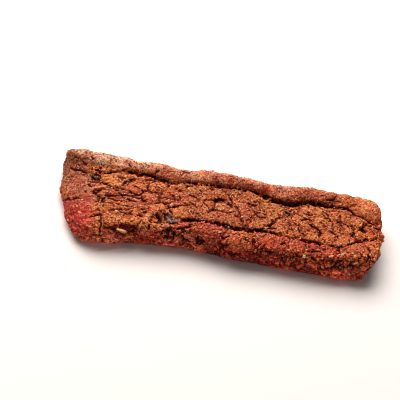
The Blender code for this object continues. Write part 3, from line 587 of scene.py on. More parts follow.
def relief(p, normal):
    """How far each point of the form moves along its normal, its colour with painted shade and highlights, and how near
    it is to a crack, which the material paints dark as painted shade.
    """
    x, y, z = p.T
    nz = normal[:, 2]
    far, near = far_crease(x), near_crease(x)
    wander = bent(p, 3.2, 0.9, 11)
    shaken = bent(p, 1.1, 0.32, 21)

    top = ramp(0.35, 0.75, nz)
    pinch = ramp(2.6, -2.2, wander[:, 0] - end_line(wander[:, 1])) * ramp(-0.2, 0.2, nz)
    rim = ramp(0.0, 1.4, y - far) * ramp(-0.35, 0.45, nz + 0.15 * soft(p, 3.0, 171)) * (1 - pinch)
    back = ramp(4.0, 10.0, y) * (1 - top)
    lobe = ramp(0.3, -0.9, y - near) * ramp(-24, -12, x) * top
    side = (1 - top) * (1 - pinch) * (1 - rim)
    field = top * (1 - rim) * (1 - lobe) * (1 - pinch)

    # chunks: long strands on the left of the field, mounds in the middle and blocks on its right
    counted = np.stack([steps(wander[:, 0], [(-60, 6.0), (-42, 7.5), (-25, 7.0), (-8, 6.6), (8, 6.2), (22, 4.4), (60, 4.0)]),
                        wander[:, 1] / through([(-60, 2.6), (-25, 3.0), (-8, 4.4), (8, 4.6), (22, 3.7), (60, 3.4)], x),
                        wander[:, 2] / 3.2], axis=1)  # fmt: skip
    edge1, _, own1 = cells(counted, 1.0, 31)
    edge1 = edge1 * 3.3
    open1 = ramp(-0.35, 0.05, soft(p, 5.0, 41) + 0.35 * ramp(14, 26, x) - 0.2)
    edge_seen, height_seen, chunk_tint, seen = photo_chunks(shaken + 0.45 * (wander - p))
    seen = seen * ramp(5.5, 7.5, z)
    edge1 = mix(edge1, edge_seen, seen)
    open1 = mix(open1, ramp(-0.75, -0.1, soft(p, 2.6, 43)), seen)
    own1[:, 0] = mix(own1[:, 0], 0.5 + 1.4 * (height_seen - 0.35), seen)
    much = (1 - 0.28 * ramp(18, 28, x)) * field + 0.75 * lobe + (1.3 - 0.35 * ramp(-5, -15, x)) * side + (0.24 + 0.4 * ramp(38, 50, x)) * rim + 0.32 * pinch
    crack1 = np.exp(-((edge1 / 0.22) ** 2)) * open1
    h = much * (-0.48 * np.exp(-edge1 / (0.6 - 0.18 * seen)) + (0.26 - 0.1 * ramp(15, 28, x)) * (own1[:, 0] - 0.5) - 0.5 * crack1)

    # crumbs in each chunk: strands again on the left
    turned = shaken + 0.7 * (wander - p) + 0.3 * np.stack([soft(p, 1.7, 45), soft(p, 1.7, 46), soft(p, 1.7, 47)], axis=1)
    counted = np.stack([steps(turned[:, 0], [(-60, 2.2), (-48, 2.6), (-42, 4.4), (-28, 4.0), (-18, 2.4), (60, 2.1)]),
                        turned[:, 1] / through([(-60, 1.7), (-44, 1.3), (-28, 1.4), (-18, 2.0), (60, 1.9)], x),
                        turned[:, 2] / 1.8], axis=1)  # fmt: skip
    edge2, _, own2 = cells(counted, 1.0, 51)
    edge2 = edge2 * 1.8
    open2 = ramp(0.25, 0.75, soft(p, 2.6, 61))
    some = (1.0 * field + 1.0 * lobe) * (1 - 0.25 * seen) + 1.65 * side + (0.45 + 0.3 * ramp(38, 50, x)) * rim + 0.7 * pinch
    crack2 = np.exp(-((edge2 / 0.17) ** 2)) * open2
    h = h + some * (-0.22 * np.exp(-edge2 / 0.28) + 0.15 * (own2[:, 0] - 0.5) - 0.3 * crack2)

    # grains
    edge3, _, own3 = cells(bent(p, 0.6, 0.15, 71), 0.92, 81)
    fine = (1 - 0.25 * ramp(38, 50, x)) * (field + lobe) + 1.2 * side + 0.85 * rim + 0.7 * pinch
    h = h + fine * (-0.2 * np.exp(-edge3 / 0.16) + 0.16 * (own3[:, 0] - 0.5)) + 0.08 * rough(p, 0.7, 91, 2)
    h = h + 0.22 * soft(p, 6.5, 95) * (field + lobe + side) + (0.3 * rough(p, 2.6, 97, 2) + 0.1 * rough(p, 0.9, 99, 2)) * (rim + 1.4 * pinch) + 0.3 * rim

    # small holes between the crumbs
    loose = rough(p * np.array([0.8, 1.0, 1.0]), 1.6, 101, 2)
    hole = ramp(0.7, 0.95, loose) * (field + 0.8 * lobe + 0.05 * rim) + ramp(0.4, 0.75, loose) * side
    h = h - (0.6 + 0.3 * side) * hole * (1 - 0.6 * back)

    for x0, y0, z0, radius, depth in NOTCHES:
        h = h - depth * np.exp(-((x - x0) ** 2 + (y - y0) ** 2 + (z - z0) ** 2) / radius**2)

    for x0, y0, z0, radius, height in BULGES:
        h = h + height * np.exp(-((x - x0) ** 2 + (y - y0) ** 2 + (z - z0) ** 2) / radius**2)

    # the cracks that the photo shows
    # how near each point is to a crack: the material paints what lies near one dark, as painted shade in and beside the
    # cracks
    chunk_gap = edge1 / 0.2 + 2.0 * (1 - open1 * np.minimum(much, 1))
    fine_gap = edge2 / 0.2 + 1.6 * (1 - open2 * np.minimum(some, 1))
    gap = np.full(len(p), 9.0)
    upper = z > 5.0
    spot = shaken[upper, :2] + 0.18 * np.stack([soft(p[upper], 0.5, 111), soft(p[upper], 0.5, 112)], axis=1)
    breadth = 1.0 + 0.45 * soft(p[upper], 2.0, 121)
    drawn = np.full(upper.sum(), 9.0)
    for points, width, depth in CRACKS.values():
        d, along = near_polyline(spot, points)
        taper = np.minimum(1.0, 0.4 + 3.0 * np.minimum(along, 1 - along)) if len(points) > 2 else 1.0
        reach = width * breadth * taper
        h[upper] -= depth * taper * np.exp(-((d / reach) ** 2))
        drawn = np.minimum(drawn, d / (1.15 * reach))
    # the two long creases
    u, v = spot.T
    for middle, width, opened in (
        (far_crease(u) + 0.5 * soft(p[upper], 2.4, 113) + 0.4 * soft(p[upper], 0.9, 116), 0.26 + 0.22 * ramp(15, 20, u) * ramp(45, 40, u) + 0.2 * ramp(-15, -22, u) + 0.3 * ramp(13, 17, u) * ramp(29, 25, u),
         ramp(-37, -34, u) * ramp(45, 42, u) * (1 - 0.6 * np.exp(-(((u + 14.6) / 0.9) ** 2)))
         * (1 - 0.5 * ramp(0.2, 0.7, soft(p[upper], 1.6, 118)) * ramp(16, 13, u))),
        (near_crease(u) + 0.3 * soft(p[upper], 2.4, 114) + 0.25 * soft(p[upper], 0.9, 117), 0.54 + 0.14 * ramp(-9, -5, u) * ramp(12, 8, u) + 0.35 * np.exp(-(((u - 3.2) / 3.2) ** 2)) - 0.22 * ramp(16, 20, u),
         ramp(-16, -14, u) * ramp(57, 54, u) * (1 - 0.25 * ramp(0.2, 0.7, soft(p[upper], 1.8, 115)))),
    ):
        reach = width * np.maximum(breadth, 0.85)
        d = np.abs(v - middle)
        h[upper] -= 1.0 * opened * np.exp(-((d / reach) ** 2))
        drawn = np.minimum(drawn, d / (1.35 * reach) + 2 * (1 - opened))
    gap[upper] = np.minimum(gap[upper], drawn)
    d, along = near_polyline(shaken[:, :2], END_CRACK)
    reach = 0.36 * (1.2 - 0.5 * along)
    high = ramp(2.0, 4.0, z)
    h -= 0.8 * np.exp(-((d / reach) ** 2)) * high
    gap = np.minimum(gap, d / reach + 3 * (1 - high))

    # the further ones, on all that the photo shows
    facing = ramp(0.05, 0.3, normal @ VIEW_BACK) * ramp(1.0, 2.5, z)
    shown = facing > 0
    spot = in_photo(shaken[shown] + 0.15 * np.stack([soft(p[shown], 0.5, k) for k in (111, 112, 119)], axis=1))
    breadth = 1.0 + 0.45 * soft(p[shown], 2.0, 122)
    drawn = np.full(shown.sum(), 9.0)
    for points, width, depth in PHOTO_CRACKS:
        d, along = near_polyline(spot, points)
        taper = np.minimum(1.0, 0.4 + 3.0 * np.minimum(along, 1 - along))
        reach = width * breadth * taper
        h[shown] -= depth * taper * np.exp(-((d / reach) ** 2)) * facing[shown]
        drawn = np.minimum(drawn, d / (1.1 * reach) + 3 * (1 - facing[shown]))
    gap[shown] = np.minimum(gap[shown], drawn)

    # the hollow under the flake on the near edge, and the flake itself
    under = ramp(1.15, 0.75, np.hypot((shaken[:, 0] + 34.8) / 4.4, (shaken[:, 1] + 15.4 - 0.1 * (x + 34.8)) / 1.35)) * ramp(5.0, 6.5, z)
    h = h - 1.9 * under
    flake = ramp(0.5, -0.4, np.maximum(np.abs(shaken[:, 0] + 30.2) - 3.0, np.abs(shaken[:, 1] + 12.8) - 2.2)) * top
    h = mix(h, 0.3 + 0.7 * h, flake)

    # colour
    warm = soft(p, 4.5, 131) * 0.5 + (own1[:, 1] - 0.5) + 0.9 * (own2[:, 1] - 0.5)
    light = np.clip(0.22 + 0.5 * warm, 0, 1)[:, None]
    red = np.clip(0.22 - 0.5 * warm + 0.4 * soft(p, 7.0, 141), 0, 1)[:, None]
    tint = mix(mix(FIELD_COLOR, FIELD_LIGHT, light), FIELD_RED, red) * (0.89 + 0.31 * ramp(-5, -25, x) + 0.15 * ramp(15, 30, x) + 0.2 * ramp(48, 54, x))[:, None]
    tint = mix(tint, LOBE_COLOR * (0.87 + 0.5 * light) * (1 + 0.48 * rough(p, 3.4, 177, 2)[:, None]), lobe[:, None] * (0.8 - 0.5 * ramp(40, 47, x))[:, None])
    own_part = (0.6 - 0.2 * ramp(10, 25, x))[:, None] * (seen * ramp(0.0, 0.5, edge1))[:, None]
    tint = mix(tint, chunk_tint * (0.78 + 0.45 * light) * (1 + 0.2 * ramp(48, 54, x))[:, None], own_part)
    tint = tint * (1 + 0.28 * (own3[:, :1] - 0.5) * np.array([0.7, 1.3, 1.4]) + 0.22 * (own2[:, :1] - 0.5) * np.array([0.8, 1.2, 1.3]))
    front = (lobe * ramp(-18, 2, x) * (1 - 0.85 * ramp(40, 47, x)))[:, None]
    tint = tint * (1 - front * (np.array([0.0, 0.26, 0.26]) + ramp(15, 32, x)[:, None] * np.array([0.1, 0.2, 0.38]) * ramp(54, 48, x)[:, None]))
    down = ramp(0.75, -0.1, nz)[:, None]
    side_tint = mix(mix(SIDE_COLOR * 0.8, SIDE_LIGHT, ramp(0, 45, x)[:, None] * 0.6 + 0.4 * light), RIM_COLOR, 0.6 * back[:, None])
    side_tint = mix(side_tint, LOBE_COLOR * 0.65, 0.85 * ramp(0.45, 0.85, normal[:, :1]))
    side_tint = mix(side_tint, srgb(250, 134, 106), 0.85 * ramp(-3, -13, x)[:, None] * (1 - back[:, None]))
    side_tint = side_tint * mix(np.array([1.45, 1.1, 1.0]), np.array([1.6, 1.75, 1.8]), ramp(5, 25, x)[:, None]) * (0.58 + 0.85 * own2[:, :1]) * (1 + (own2[:, :1] - 0.3) * np.array([0, 0.7, 0.7]))
    side_tint = side_tint / (1 + 0.2 * side_tint[:, :1]) * mix(np.ones(3), np.array([1.1, 1.35, 1.2]), own2[:, 1:] * ramp(10, 30, x)[:, None])
    side_tint = side_tint * (1 + ((0.3 * ramp(-34, -28, x) * ramp(-10, -15, x) + 0.2 * ramp(30, 36, x) * ramp(49, 44, x)) * (1 - back))[:, None])
    tint = mix(tint, side_tint, down * (1 - pinch[:, None]) * (1 - rim[:, None]))
    # painted shade: the near corner of the blunt end is painted darker
    tint = tint * (1 - (ramp(44, 52, x) * ramp(-8, -12, y))[:, None] * np.array([0.2, 0.34, 0.42]))
    # painted highlight: the rim's far shoulder is painted pale, more on the left and in patches at random, on faces
    # that look upwards
    shoulder = ramp(0.35, 1.0, (y - far) / np.maximum(far_side(x) - far, 3.0))
    pale = np.clip(0.1 + 1.0 * shoulder**1.3 + 0.4 * soft(p, 3.0, 151) + 0.4 * ramp(-20, -45, x) - 0.15 * ramp(15, 30, x), 0, 1)
    # painted shade: the rim's wall is painted darker and redder down towards the crease
    painted_rim_wall_shade = ramp(3.4, 0.6, y - far)[:, None]
    pale = pale * ramp(0.28, 0.7, nz)
    uneven = 1.04 + 0.46 * rough(p, 3.0, 175, 2)[:, None] * np.array([0.8, 1.2, 1.2])
    rim_tint = mix(RIM_COLOR, RIM_PAINTED_HIGHLIGHT, pale[:, None]) * (1 - painted_rim_wall_shade * np.array([0.4, 0.56, 0.6])) * uneven
    tint = mix(tint, rim_tint, rim[:, None] * (0.9 - 0.65 * ramp(34, 47, x))[:, None])
    face = mix(PINCH_COLOR, PINCH_TOP, ramp(-9, 6, y + 5.0 * rough(p, 4.0, 161, 2))[:, None])
    tint = mix(tint, face * (0.85 + 0.45 * light), pinch[:, None] * 0.9)
    tint = mix(tint, FIELD_LIGHT * 1.05, flake[:, None] * 0.55)
    # painted shade: the hollow under the flake is painted a deep red
    tint = mix(tint, srgb(205, 40, 40), 0.9 * under[:, None])
    dark_patch = np.max([spot_in_photo(spot, *patch, 4) for patch in DARK_PATCHES], axis=0) * facing[shown]
    h[shown] -= 0.5 * dark_patch
    tint[shown] = mix(tint[shown], srgb(40, 15, 20), (0.95 * dark_patch * ramp(-0.9, -0.2, soft(p[shown], 1.0, 181)))[:, None])
    # painted shade: these places are lowered a little and painted darker
    for *patch, amount in SHADES:
        shade = amount * spot_in_photo(spot, *patch, 2) * facing[shown]
        h[shown] -= 0.3 * shade
        tint[shown] *= 1 - shade[:, None] * np.array([0.9, 1.1, 1.15])
    for line in STRANDS:
        d, along = near_polyline(spot, line)
        shine = np.exp(-((d / 0.5) ** 2)) * facing[shown]
        h[shown] += 0.25 * shine
        tint[shown] = mix(tint[shown], PURPLE, 0.9 * shine[:, None])
    # painted highlight: pale streaks along the rim's far edge
    painted_streak_highlight = np.max([spot_in_photo(spot, *patch, 2) for patch in RIM_HIGHLIGHT_STREAKS], axis=0) * facing[shown]
    painted_streak_highlight = painted_streak_highlight * ramp(-0.5, 0.4, soft(p[shown], 0.9, 185))
    tint[shown] = mix(tint[shown], srgb(228, 188, 152), 0.6 * painted_streak_highlight[:, None])
    # painted shade: the back, and on the far half what faces away from the view, are painted darker against the strong
    # light from behind
    away = ramp(0.12, -0.2, normal @ VIEW_BACK) * ramp(4.0, 10.0, y) * (1 - pinch)
    tint = tint * (1 - np.maximum(0.5 * back * (1 - pinch), 0.5 * away)[:, None] * np.array([0.98, 1.0, 0.98]))

    # painted shade and highlight: on the sides, but not at the back, what stands high is painted lighter and what lies
    # low darker, and everywhere what lies low is painted darker and redder
    tint = tint * (1 + 0.45 * (side * (1 - back))[:, None] * np.clip((h + 0.35) / 0.5, -1, 1)[:, None] * np.array([0.8, 1.1, 1.1]))
    low = ramp(-0.25, -1.3, h)[:, None]
    tint = tint * (1 - low * np.array([0.38, 0.74, 0.8]))
    # painted shade: nearness to a crack, which the material paints dark; the cells' own cracks only part way
    painted_crack_shade = np.maximum(np.clip(1 - 0.5 * gap, 0, 1), np.clip(1 - 0.5 * fine_gap, 0, 0.52 + 0.03 * side))
    painted_crack_shade = np.maximum(painted_crack_shade, np.clip(1 - 0.5 * chunk_gap, 0, 0.58 + np.maximum(0.1 * ramp(10, 24, x), 0.12 * seen) - 0.14 * side))
    return h, tint, painted_crack_shade


# ---------------------------------------------------------------- mesh
def make_mesh(name, points, faces, smooth=True):
    mesh = bpy.data.meshes.new(name)
    mesh.vertices.add(len(points))
    mesh.vertices.foreach_set("co", np.ascontiguousarray(points, np.float32).ravel())
    sides = faces.shape[1]
    mesh.loops.add(faces.size)
    mesh.loops.foreach_set("vertex_index", np.ascontiguousarray(faces, np.int32).ravel())
    mesh.polygons.add(len(faces))
    mesh.polygons.foreach_set("loop_start", np.arange(0, faces.size, sides, dtype=np.int32))
    mesh.polygons.foreach_set("loop_total", np.full(len(faces), sides, np.int32))
    mesh.update(calc_edges=True)
    mesh.validate()
    if smooth:
        mesh.shade_smooth()
    return mesh


def normals_of(mesh):
    flat = np.zeros(len(mesh.vertices) * 3, np.float32)
    mesh.vertex_normals.foreach_get("vector", flat)
    return flat.reshape(-1, 3).astype(float)


def add_tint(mesh, tint, dark):
    # the fourth channel is how near a crack is, which the material paints dark as painted shade
    layer = mesh.attributes.new("tint", "FLOAT_COLOR", "POINT")
    layer.data.foreach_set("color", np.concatenate([tint, dark[:, None]], axis=1).astype(np.float32).ravel())


def link(name, mesh, material):
    obj = bpy.data.objects.new(name, mesh)
    mesh.materials.append(material)
    bpy.context.scene.collection.objects.link(obj)
    return obj


def make_bar(material):
    cube, quads = cube_grid(CELLS_ALONG, CELLS_ACROSS, CELLS_UP)
    form, eta, zeta = place(cube)
    mesh = make_mesh("jerky_bar_meat", form, quads)
    normal = normals_of(mesh)
    h, tint, dark = relief(form, normal)
    hold = ramp(0.0, 1.2, form[:, 2])  # the underside stays flat
    h = (h + 0.16) * hold
    points = form + normal * h[:, None]
    points[:, 2] = np.maximum(points[:, 2], 0.0)
    row = to_row(points)
    low, high = (np.array(v) for v in CAD_BOX)
    # the relief keeps inside the model's own box
    reach = np.minimum(1.0, (high - low) / (row.max(axis=0) - row.min(axis=0)))
    middle = 0.5 * (low + high)
    middle[2] = 0.0
    row = (row - middle) * reach + middle
    row = np.clip(row, low, high)
    mesh.vertices.foreach_set("co", row.astype(np.float32).ravel())
    mesh.update()
    add_tint(mesh, tint, dark)
    bar = link("jerky_bar_meat", mesh, material)
    thin = bar.modifiers.new("Thin", "DECIMATE")
    thin.ratio = 196000 / (2 * len(quads))
    thin.use_collapse_triangulate = True
    graph = bpy.context.evaluated_depsgraph_get()
    final = bpy.data.meshes.new_from_object(bar.evaluated_get(graph))
    bar.modifiers.clear()
    bar.data = final
    final.name = "jerky_bar_meat"
    bpy.data.meshes.remove(mesh)
    final.shade_smooth()
    return bar


def ball():
    """A ball of 80 triangles: (points, faces)."""
    form = bmesh.new()
    bmesh.ops.create_icosphere(form, subdivisions=2, radius=1.0)
    points = np.array([v.co for v in form.verts])
    faces = np.array([[v.index for v in f.verts] for f in form.faces])
    form.free()
    return points, faces


def make_crumbs(bar, material):
    """Crumbs of seasoning and meat that lie on the bar, half sunk in it."""
    rng = np.random.default_rng(7)
    colors = {CREAM: srgb(238, 192, 142), TAN: srgb(222, 146, 98), YELLOW: srgb(228, 130, 54), ORANGE: srgb(214, 98, 40), GREY: srgb(196, 146, 124)}
    mesh = bar.data
    points = np.zeros(len(mesh.vertices) * 3, np.float32)
    mesh.vertices.foreach_get("co", points)
    points = points.reshape(-1, 3).astype(float)
    faces = np.zeros(len(mesh.polygons) * 3, np.int32)
    mesh.polygons.foreach_get("vertices", faces)
    faces = faces.reshape(-1, 3)
    tree = BVHTree.FromPolygons([tuple(v) for v in points], [tuple(f) for f in faces.tolist()])
    placed = []  # centre, normal, direction, radius in mm, length, colour
    for px, py, radius, long, color in CRUMBS:
        hit, normal, _, _ = tree.ray_cast(Vector(EYE), Vector(sight(px, py)))
        if hit is not None:
            placed.append((np.array(hit), np.array(normal), rng.normal(size=3), radius, long, colors[color]))
    start, end = (tree.ray_cast(Vector(EYE), Vector(sight(*CRUMB_ROD[i : i + 2]))) for i in (0, 2))
    if start[0] is not None and end[0] is not None:
        radius = CRUMB_ROD[4]
        lift = 0.0009 * np.array(start[1]) + 0.0012 * VIEW_BACK
        run = np.array(end[0] - start[0])
        placed.append((0.5 * np.array(start[0] + end[0]) + lift, np.array(start[1]), run, radius, 500 * np.linalg.norm(run) / radius, srgb(236, 160, 100)))
    # small ones everywhere but on the rim and the pinched end
    corners = points[faces]
    across_face = np.cross(corners[:, 1] - corners[:, 0], corners[:, 2] - corners[:, 0])
    area = np.linalg.norm(across_face, axis=1)
    middle = corners.mean(axis=1)
    mm = middle / STRETCH * 1000.0 + SHIFT
    upward = across_face[:, 2] / np.maximum(area, 1e-12)
    weight = area * (mm[:, 2] > 1.5) * np.where(upward > 0.5, 1.0, 0.5)
    weight *= np.where(mm[:, 1] > far_crease(mm[:, 0]) + 1.0, 0.04, 1.0) * np.where(mm[:, 0] < end_line(mm[:, 1]), 0.25, 1.0)
    chosen = rng.choice(len(faces), CRUMB_COUNT, p=weight / weight.sum())
    kinds = rng.choice(4, CRUMB_COUNT, p=[0.5, 0.14, 0.2, 0.16])
    for face, kind in zip(chosen, kinds):
        color = (colors[ORANGE], colors[YELLOW], colors[TAN], srgb(120, 34, 20))[kind] * rng.uniform(0.75, 1.15)
        if upward[face] < 0.5:
            color = color * np.array([0.85, 0.6, 0.6])
        spot = rng.dirichlet((1, 1, 1)) @ corners[face]
        placed.append((spot, across_face[face] / area[face], rng.normal(size=3), rng.uniform(0.22, 0.45), rng.uniform(1.0, 1.9), color))
    sphere, sphere_faces = ball()
    all_points, all_faces, all_tints = [], [], []
    for k, (spot, normal, run, radius, long, color) in enumerate(placed):
        side = np.cross(normal, run)
        side /= np.linalg.norm(side)
        ahead = np.cross(side, normal)
        lumps = 1 + 0.22 * rng.normal(size=(len(sphere), 1)).clip(-1.5, 1.5)
        shape = sphere * lumps * radius / 1000.0
        shape = shape[:, :1] * ahead * long + shape[:, 1:2] * side + shape[:, 2:] * normal * 0.75
        all_points.append(spot + normal * radius * 0.15 / 1000.0 + shape)
        all_faces.append(sphere_faces + k * len(sphere))
        all_tints.append(np.broadcast_to(np.clip(color, 0, 1), (len(sphere), 3)))
    low, high = (np.array(v) for v in CAD_BOX)
    mesh = make_mesh("jerky_crumbs", np.clip(np.concatenate(all_points), low, high), np.concatenate(all_faces))
    tints = np.concatenate(all_tints)
    add_tint(mesh, tints, np.zeros(len(tints)))
    return link("jerky_crumbs", mesh, material)


# ---------------------------------------------------------------- materials
class Nodes:
    """A short way to write a material's nodes."""

    def __init__(self, name):
        self.material = bpy.data.materials.new(name)
        self.material.use_nodes = True
        self.tree = self.material.node_tree
        self.shader = self.tree.nodes["Principled BSDF"]

    def add(self, kind, inputs=(), **settings):
        node = self.tree.nodes.new(kind)
        for key, value in settings.items():
            setattr(node, key, value)
        for key, value in dict(inputs).items():
            self.put(node.inputs[key], value)
        return node

    def put(self, socket, value):
        if isinstance(value, bpy.types.NodeSocket):
            self.tree.links.new(value, socket)
        else:
            socket.default_value = value

    def math(self, operation, a, b=0.0, c=0.0, clamp=False):
        return self.add("ShaderNodeMath", {0: a, 1: b, 2: c}, operation=operation, use_clamp=clamp).outputs[0]

    def ramp(self, low, high, value):
        return self.add("ShaderNodeMapRange", {"Value": value, "From Min": low, "From Max": high}, interpolation_type="SMOOTHSTEP").outputs[0]

    def blend(self, factor, a, b, blend_type="MIX"):
        node = self.add("ShaderNodeMix", data_type="RGBA", blend_type=blend_type)
        self.put(node.inputs["Factor"], factor)
        self.put(node.inputs[6], a)
        self.put(node.inputs[7], b)
        return node.outputs[2]

    def scaled(self, color, factor):
        return self.add("ShaderNodeVectorMath", {0: color, "Scale": factor}, operation="SCALE").outputs[0]


def rgba(color):
    return (*[float(v) for v in color], 1.0)


def meat_material():
    n = Nodes("dried_meat")
    place_mm = n.add("ShaderNodeVectorMath", {0: n.add("ShaderNodeTexCoord").outputs["Object"], "Scale": 1000.0}, operation="SCALE").outputs[0]
    tint = n.add("ShaderNodeAttribute", attribute_name="tint")
    grain = n.add("ShaderNodeTexVoronoi", {"Vector": place_mm, "Scale": 1.15}, feature="F1")
    speck = n.add("ShaderNodeTexVoronoi", {"Vector": place_mm, "Scale": 1.7}, feature="F1")
    fine = n.add("ShaderNodeTexNoise", {"Vector": place_mm, "Scale": 1.9, "Detail": 3.0, "Roughness": 0.6})
    dust = n.add("ShaderNodeTexNoise", {"Vector": place_mm, "Scale": 4.5, "Detail": 2.0, "Roughness": 0.6})
    own = n.add("ShaderNodeSeparateColor", {"Color": grain.outputs["Color"]})
    other = n.add("ShaderNodeSeparateColor", {"Color": speck.outputs["Color"]})

    # each grain is paler or darker at random, with painted shade at its edge and a painted highlight at its middle; the
    # dark ones are redder
    patchy = n.add("ShaderNodeTexNoise", {"Vector": place_mm, "Scale": 0.33, "Detail": 2.0, "Roughness": 0.6})
    strong = n.math("MULTIPLY_ADD", n.ramp(0.38, 0.62, patchy.outputs["Fac"]), 0.8, 0.55)
    level = n.math("MULTIPLY_ADD", own.outputs[0], 0.5, -0.25)
    level = n.math("ADD", level, n.math("MULTIPLY_ADD", n.ramp(0.34, 0.66, fine.outputs["Fac"]), 0.75, -0.375))
    level = n.math("ADD", level, n.math("MULTIPLY_ADD", n.ramp(0.3, 0.7, dust.outputs["Fac"]), 0.3, -0.15))
    level = n.math("ADD", level, n.math("MULTIPLY_ADD", n.ramp(0.15, 0.75, grain.outputs["Distance"]), -0.3, 0.1))
    level = n.math("MULTIPLY", level, strong)
    rise = n.math("MULTIPLY", level, 1.0, clamp=True)
    fall = n.math("MULTIPLY", level, -1.0, clamp=True)
    deep = n.add("ShaderNodeVectorMath", {0: tint.outputs["Color"], 1: (0.29, 0.045, 0.03)}, operation="MULTIPLY").outputs[0]
    color = n.blend(n.math("MULTIPLY", fall, 2.1, clamp=True), tint.outputs["Color"], deep)
    green = n.add("ShaderNodeSeparateColor", {"Color": tint.outputs["Color"]}).outputs[1]
    rise = n.math("MULTIPLY", rise, n.math("MULTIPLY_ADD", n.ramp(0.0, 0.06, green), 0.4, 0.6))
    # painted highlights: the paler grains are painted towards gold and cream
    golden = n.add("ShaderNodeVectorMath", {0: n.scaled(tint.outputs["Color"], 0.88), 1: (0.13, 0.132, 0.042)}, operation="ADD").outputs[0]
    cream = n.add("ShaderNodeVectorMath", {0: n.scaled(tint.outputs["Color"], 0.85), 1: (0.17, 0.172, 0.125)}, operation="ADD").outputs[0]
    pale = n.blend(other.outputs[1], golden, cream)
    color = n.blend(n.math("MULTIPLY", rise, 2.0, clamp=True), color, pale)
    # and each small grain is yellower or redder
    for source, yellow, blue in ((own, 0.22, 0.4), (other, 0.34, 0.7)):
        hue = n.add("ShaderNodeCombineXYZ", {
            "X": 1.0, "Y": n.math("MULTIPLY_ADD", source.outputs[1], yellow, 1 - 0.5 * yellow),
            "Z": n.math("MULTIPLY_ADD", source.outputs[2], blue, 1 - 0.5 * blue)})  # fmt: skip
        color = n.add("ShaderNodeVectorMath", {0: color, 1: hue.outputs[0]}, operation="MULTIPLY").outputs[0]
    # tan and yellow crumbs of seasoning, painted glints in white, and dark crumbs
    tan = n.math("MULTIPLY", n.ramp(0.76, 0.82, other.outputs[0]), n.ramp(0.42, 0.25, speck.outputs["Distance"]))
    color = n.blend(n.math("MULTIPLY", tan, 0.6), color, rgba(srgb(212, 158, 96)))
    # painted glints: a few tiny specks painted nearly white
    white = n.math("MULTIPLY", n.ramp(0.035, 0.03, other.outputs[1]), n.ramp(0.34, 0.2, speck.outputs["Distance"]))
    color = n.blend(n.math("MULTIPLY", white, 0.8), color, rgba(srgb(240, 212, 186)))
    black = n.math("MULTIPLY", n.ramp(0.88, 0.93, other.outputs[1]), n.ramp(0.45, 0.25, speck.outputs["Distance"]))
    color = n.blend(n.math("MULTIPLY", black, 0.8), color, rgba(srgb(46, 12, 8)))
    # cracks: painted shade, in a dark red, in and beside them
    gap = n.math("ADD", tint.outputs["Alpha"], n.math("MULTIPLY_ADD", fine.outputs["Fac"], 0.4, -0.2))
    color = n.blend(n.math("MULTIPLY", n.ramp(0.42, 0.64, gap), 0.96), color, rgba(srgb(68, 6, 2)))
    n.put(n.shader.inputs["Base Color"], color)

    n.put(n.shader.inputs["Roughness"], n.math("MULTIPLY_ADD", fine.outputs["Fac"], 0.35, 0.32))
    n.shader.inputs["Specular IOR Level"].default_value = 0.14
    height = n.math("MULTIPLY_ADD", fine.outputs["Fac"], 0.5, n.math("MULTIPLY", grain.outputs["Distance"], -0.5))
    height = n.math("MULTIPLY_ADD", dust.outputs["Fac"], 0.22, height)
    bump = n.add("ShaderNodeBump", {"Strength": 0.8, "Distance": 0.0004, "Height": height})
    n.put(n.shader.inputs["Normal"], bump.outputs["Normal"])
    return n.material


def crumb_material():
    n = Nodes("crumbs")
    place_mm = n.add("ShaderNodeVectorMath", {0: n.add("ShaderNodeTexCoord").outputs["Object"], "Scale": 1000.0}, operation="SCALE").outputs[0]
    tint = n.add("ShaderNodeAttribute", attribute_name="tint")
    fine = n.add("ShaderNodeTexNoise", {"Vector": place_mm, "Scale": 2.6, "Detail": 2.0, "Roughness": 0.6})
    n.put(n.shader.inputs["Base Color"], n.scaled(tint.outputs["Color"], n.math("MULTIPLY_ADD", n.ramp(0.35, 0.65, fine.outputs["Fac"]), 0.7, 0.55)))
    n.put(n.shader.inputs["Roughness"], n.math("MULTIPLY_ADD", fine.outputs["Fac"], 0.3, 0.3))
    n.shader.inputs["Specular IOR Level"].default_value = 0.3
    bump = n.add("ShaderNodeBump", {"Strength": 0.6, "Distance": 0.0002, "Height": fine.outputs["Fac"]})
    n.put(n.shader.inputs["Normal"], bump.outputs["Normal"])
    return n.material


# ---------------------------------------------------------------- stage, lights and camera
def make_floor():
    """A pale floor that fades into the white of the studio away from the bar."""
    size = 1.0
    n = Nodes("pale_floor")
    n.shader.inputs["Base Color"].default_value = (0.9, 0.83, 0.79, 1.0)
    n.shader.inputs["Roughness"].default_value = 0.9
    away = n.add("ShaderNodeVectorMath", {0: n.add("ShaderNodeTexCoord").outputs["Object"]}, operation="LENGTH").outputs["Value"]
    n.put(n.shader.inputs["Alpha"], n.ramp(0.42, 0.14, away))
    points = np.array([(-size, -size, 0), (size, -size, 0), (size, size, 0), (-size, size, 0)], float)
    floor = link("floor", make_mesh("floor", points, np.array([[0, 1, 2, 3]]), smooth=False), n.material)


def aim(obj, eye, target):
    obj.matrix_world = Matrix.Translation(eye) @ (Vector(eye) - Vector(target)).to_track_quat("Z", "Y").to_matrix().to_4x4()


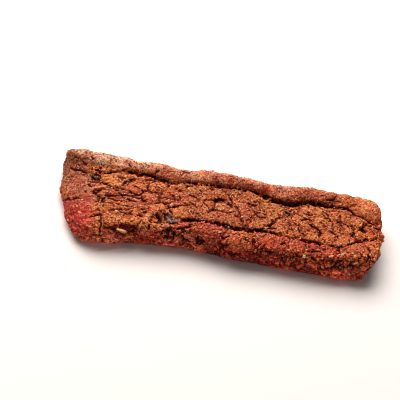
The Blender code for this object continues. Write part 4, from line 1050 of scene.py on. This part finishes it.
def area_light(name, eye, target, size, power, color):
    light = bpy.data.lights.new(name, "AREA")
    light.shape = "RECTANGLE"
    light.size, light.size_y = size
    light.energy = power
    light.color = color
    obj = bpy.data.objects.new(name, light)
    bpy.context.scene.collection.objects.link(obj)
    aim(obj, eye, target)
    return obj


def make_lights():
    area_light("softbox_behind", (-0.18, 0.47, 0.6), (0, 0, 0), (0.9, 0.6), 12.8, (1.0, 0.985, 0.965))
    area_light("low_fill", (0.12, -0.85, 0.11), (0, 0, 0.005), (0.8, 0.1), 0.8, (1.0, 0.95, 0.92))
    world = bpy.data.worlds.new("studio")
    world.use_nodes = True
    tree = world.node_tree
    shade = tree.nodes["Background"]
    shade.inputs["Color"].default_value = (1.0, 1.0, 1.0, 1.0)
    path = tree.nodes.new("ShaderNodeLightPath")
    level = tree.nodes.new("ShaderNodeMapRange")
    level.inputs["To Min"].default_value = 0.12
    level.inputs["To Max"].default_value = 1.0
    tree.links.new(path.outputs["Is Camera Ray"], level.inputs["Value"])
    tree.links.new(level.outputs[0], shade.inputs["Strength"])
    bpy.context.scene.world = world
    bpy.context.scene.view_settings.view_transform = "Standard"
    bpy.context.scene.cycles.filter_width = 1.0


def make_camera():
    # the target is at pixel (221, 215), so the view's middle is a little to its left and above it
    z_axis = -sight(200, 200) / np.linalg.norm(sight(200, 200))
    x_axis = VIEW_RIGHT - (VIEW_RIGHT @ z_axis) * z_axis
    x_axis /= np.linalg.norm(x_axis)
    y_axis = np.cross(z_axis, x_axis)
    data = bpy.data.cameras.new("camera")
    data.sensor_width = 36.0
    data.lens = FOCAL / 400.0 * 36.0
    data.clip_start = 0.01
    data.clip_end = 20.0
    camera = bpy.data.objects.new("camera", data)
    bpy.context.scene.collection.objects.link(camera)
    turn = Matrix([[x_axis[i], y_axis[i], z_axis[i]] for i in range(3)]).to_4x4()
    camera.matrix_world = Matrix.Translation(Vector(EYE)) @ turn
    bpy.context.scene.camera = camera


make_camera()
make_lights()
make_floor()
bar = make_bar(meat_material())
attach(bar, "root")
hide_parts("jerky_bar")
crumbs = make_crumbs(bar, crumb_material())
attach(crumbs, "root")
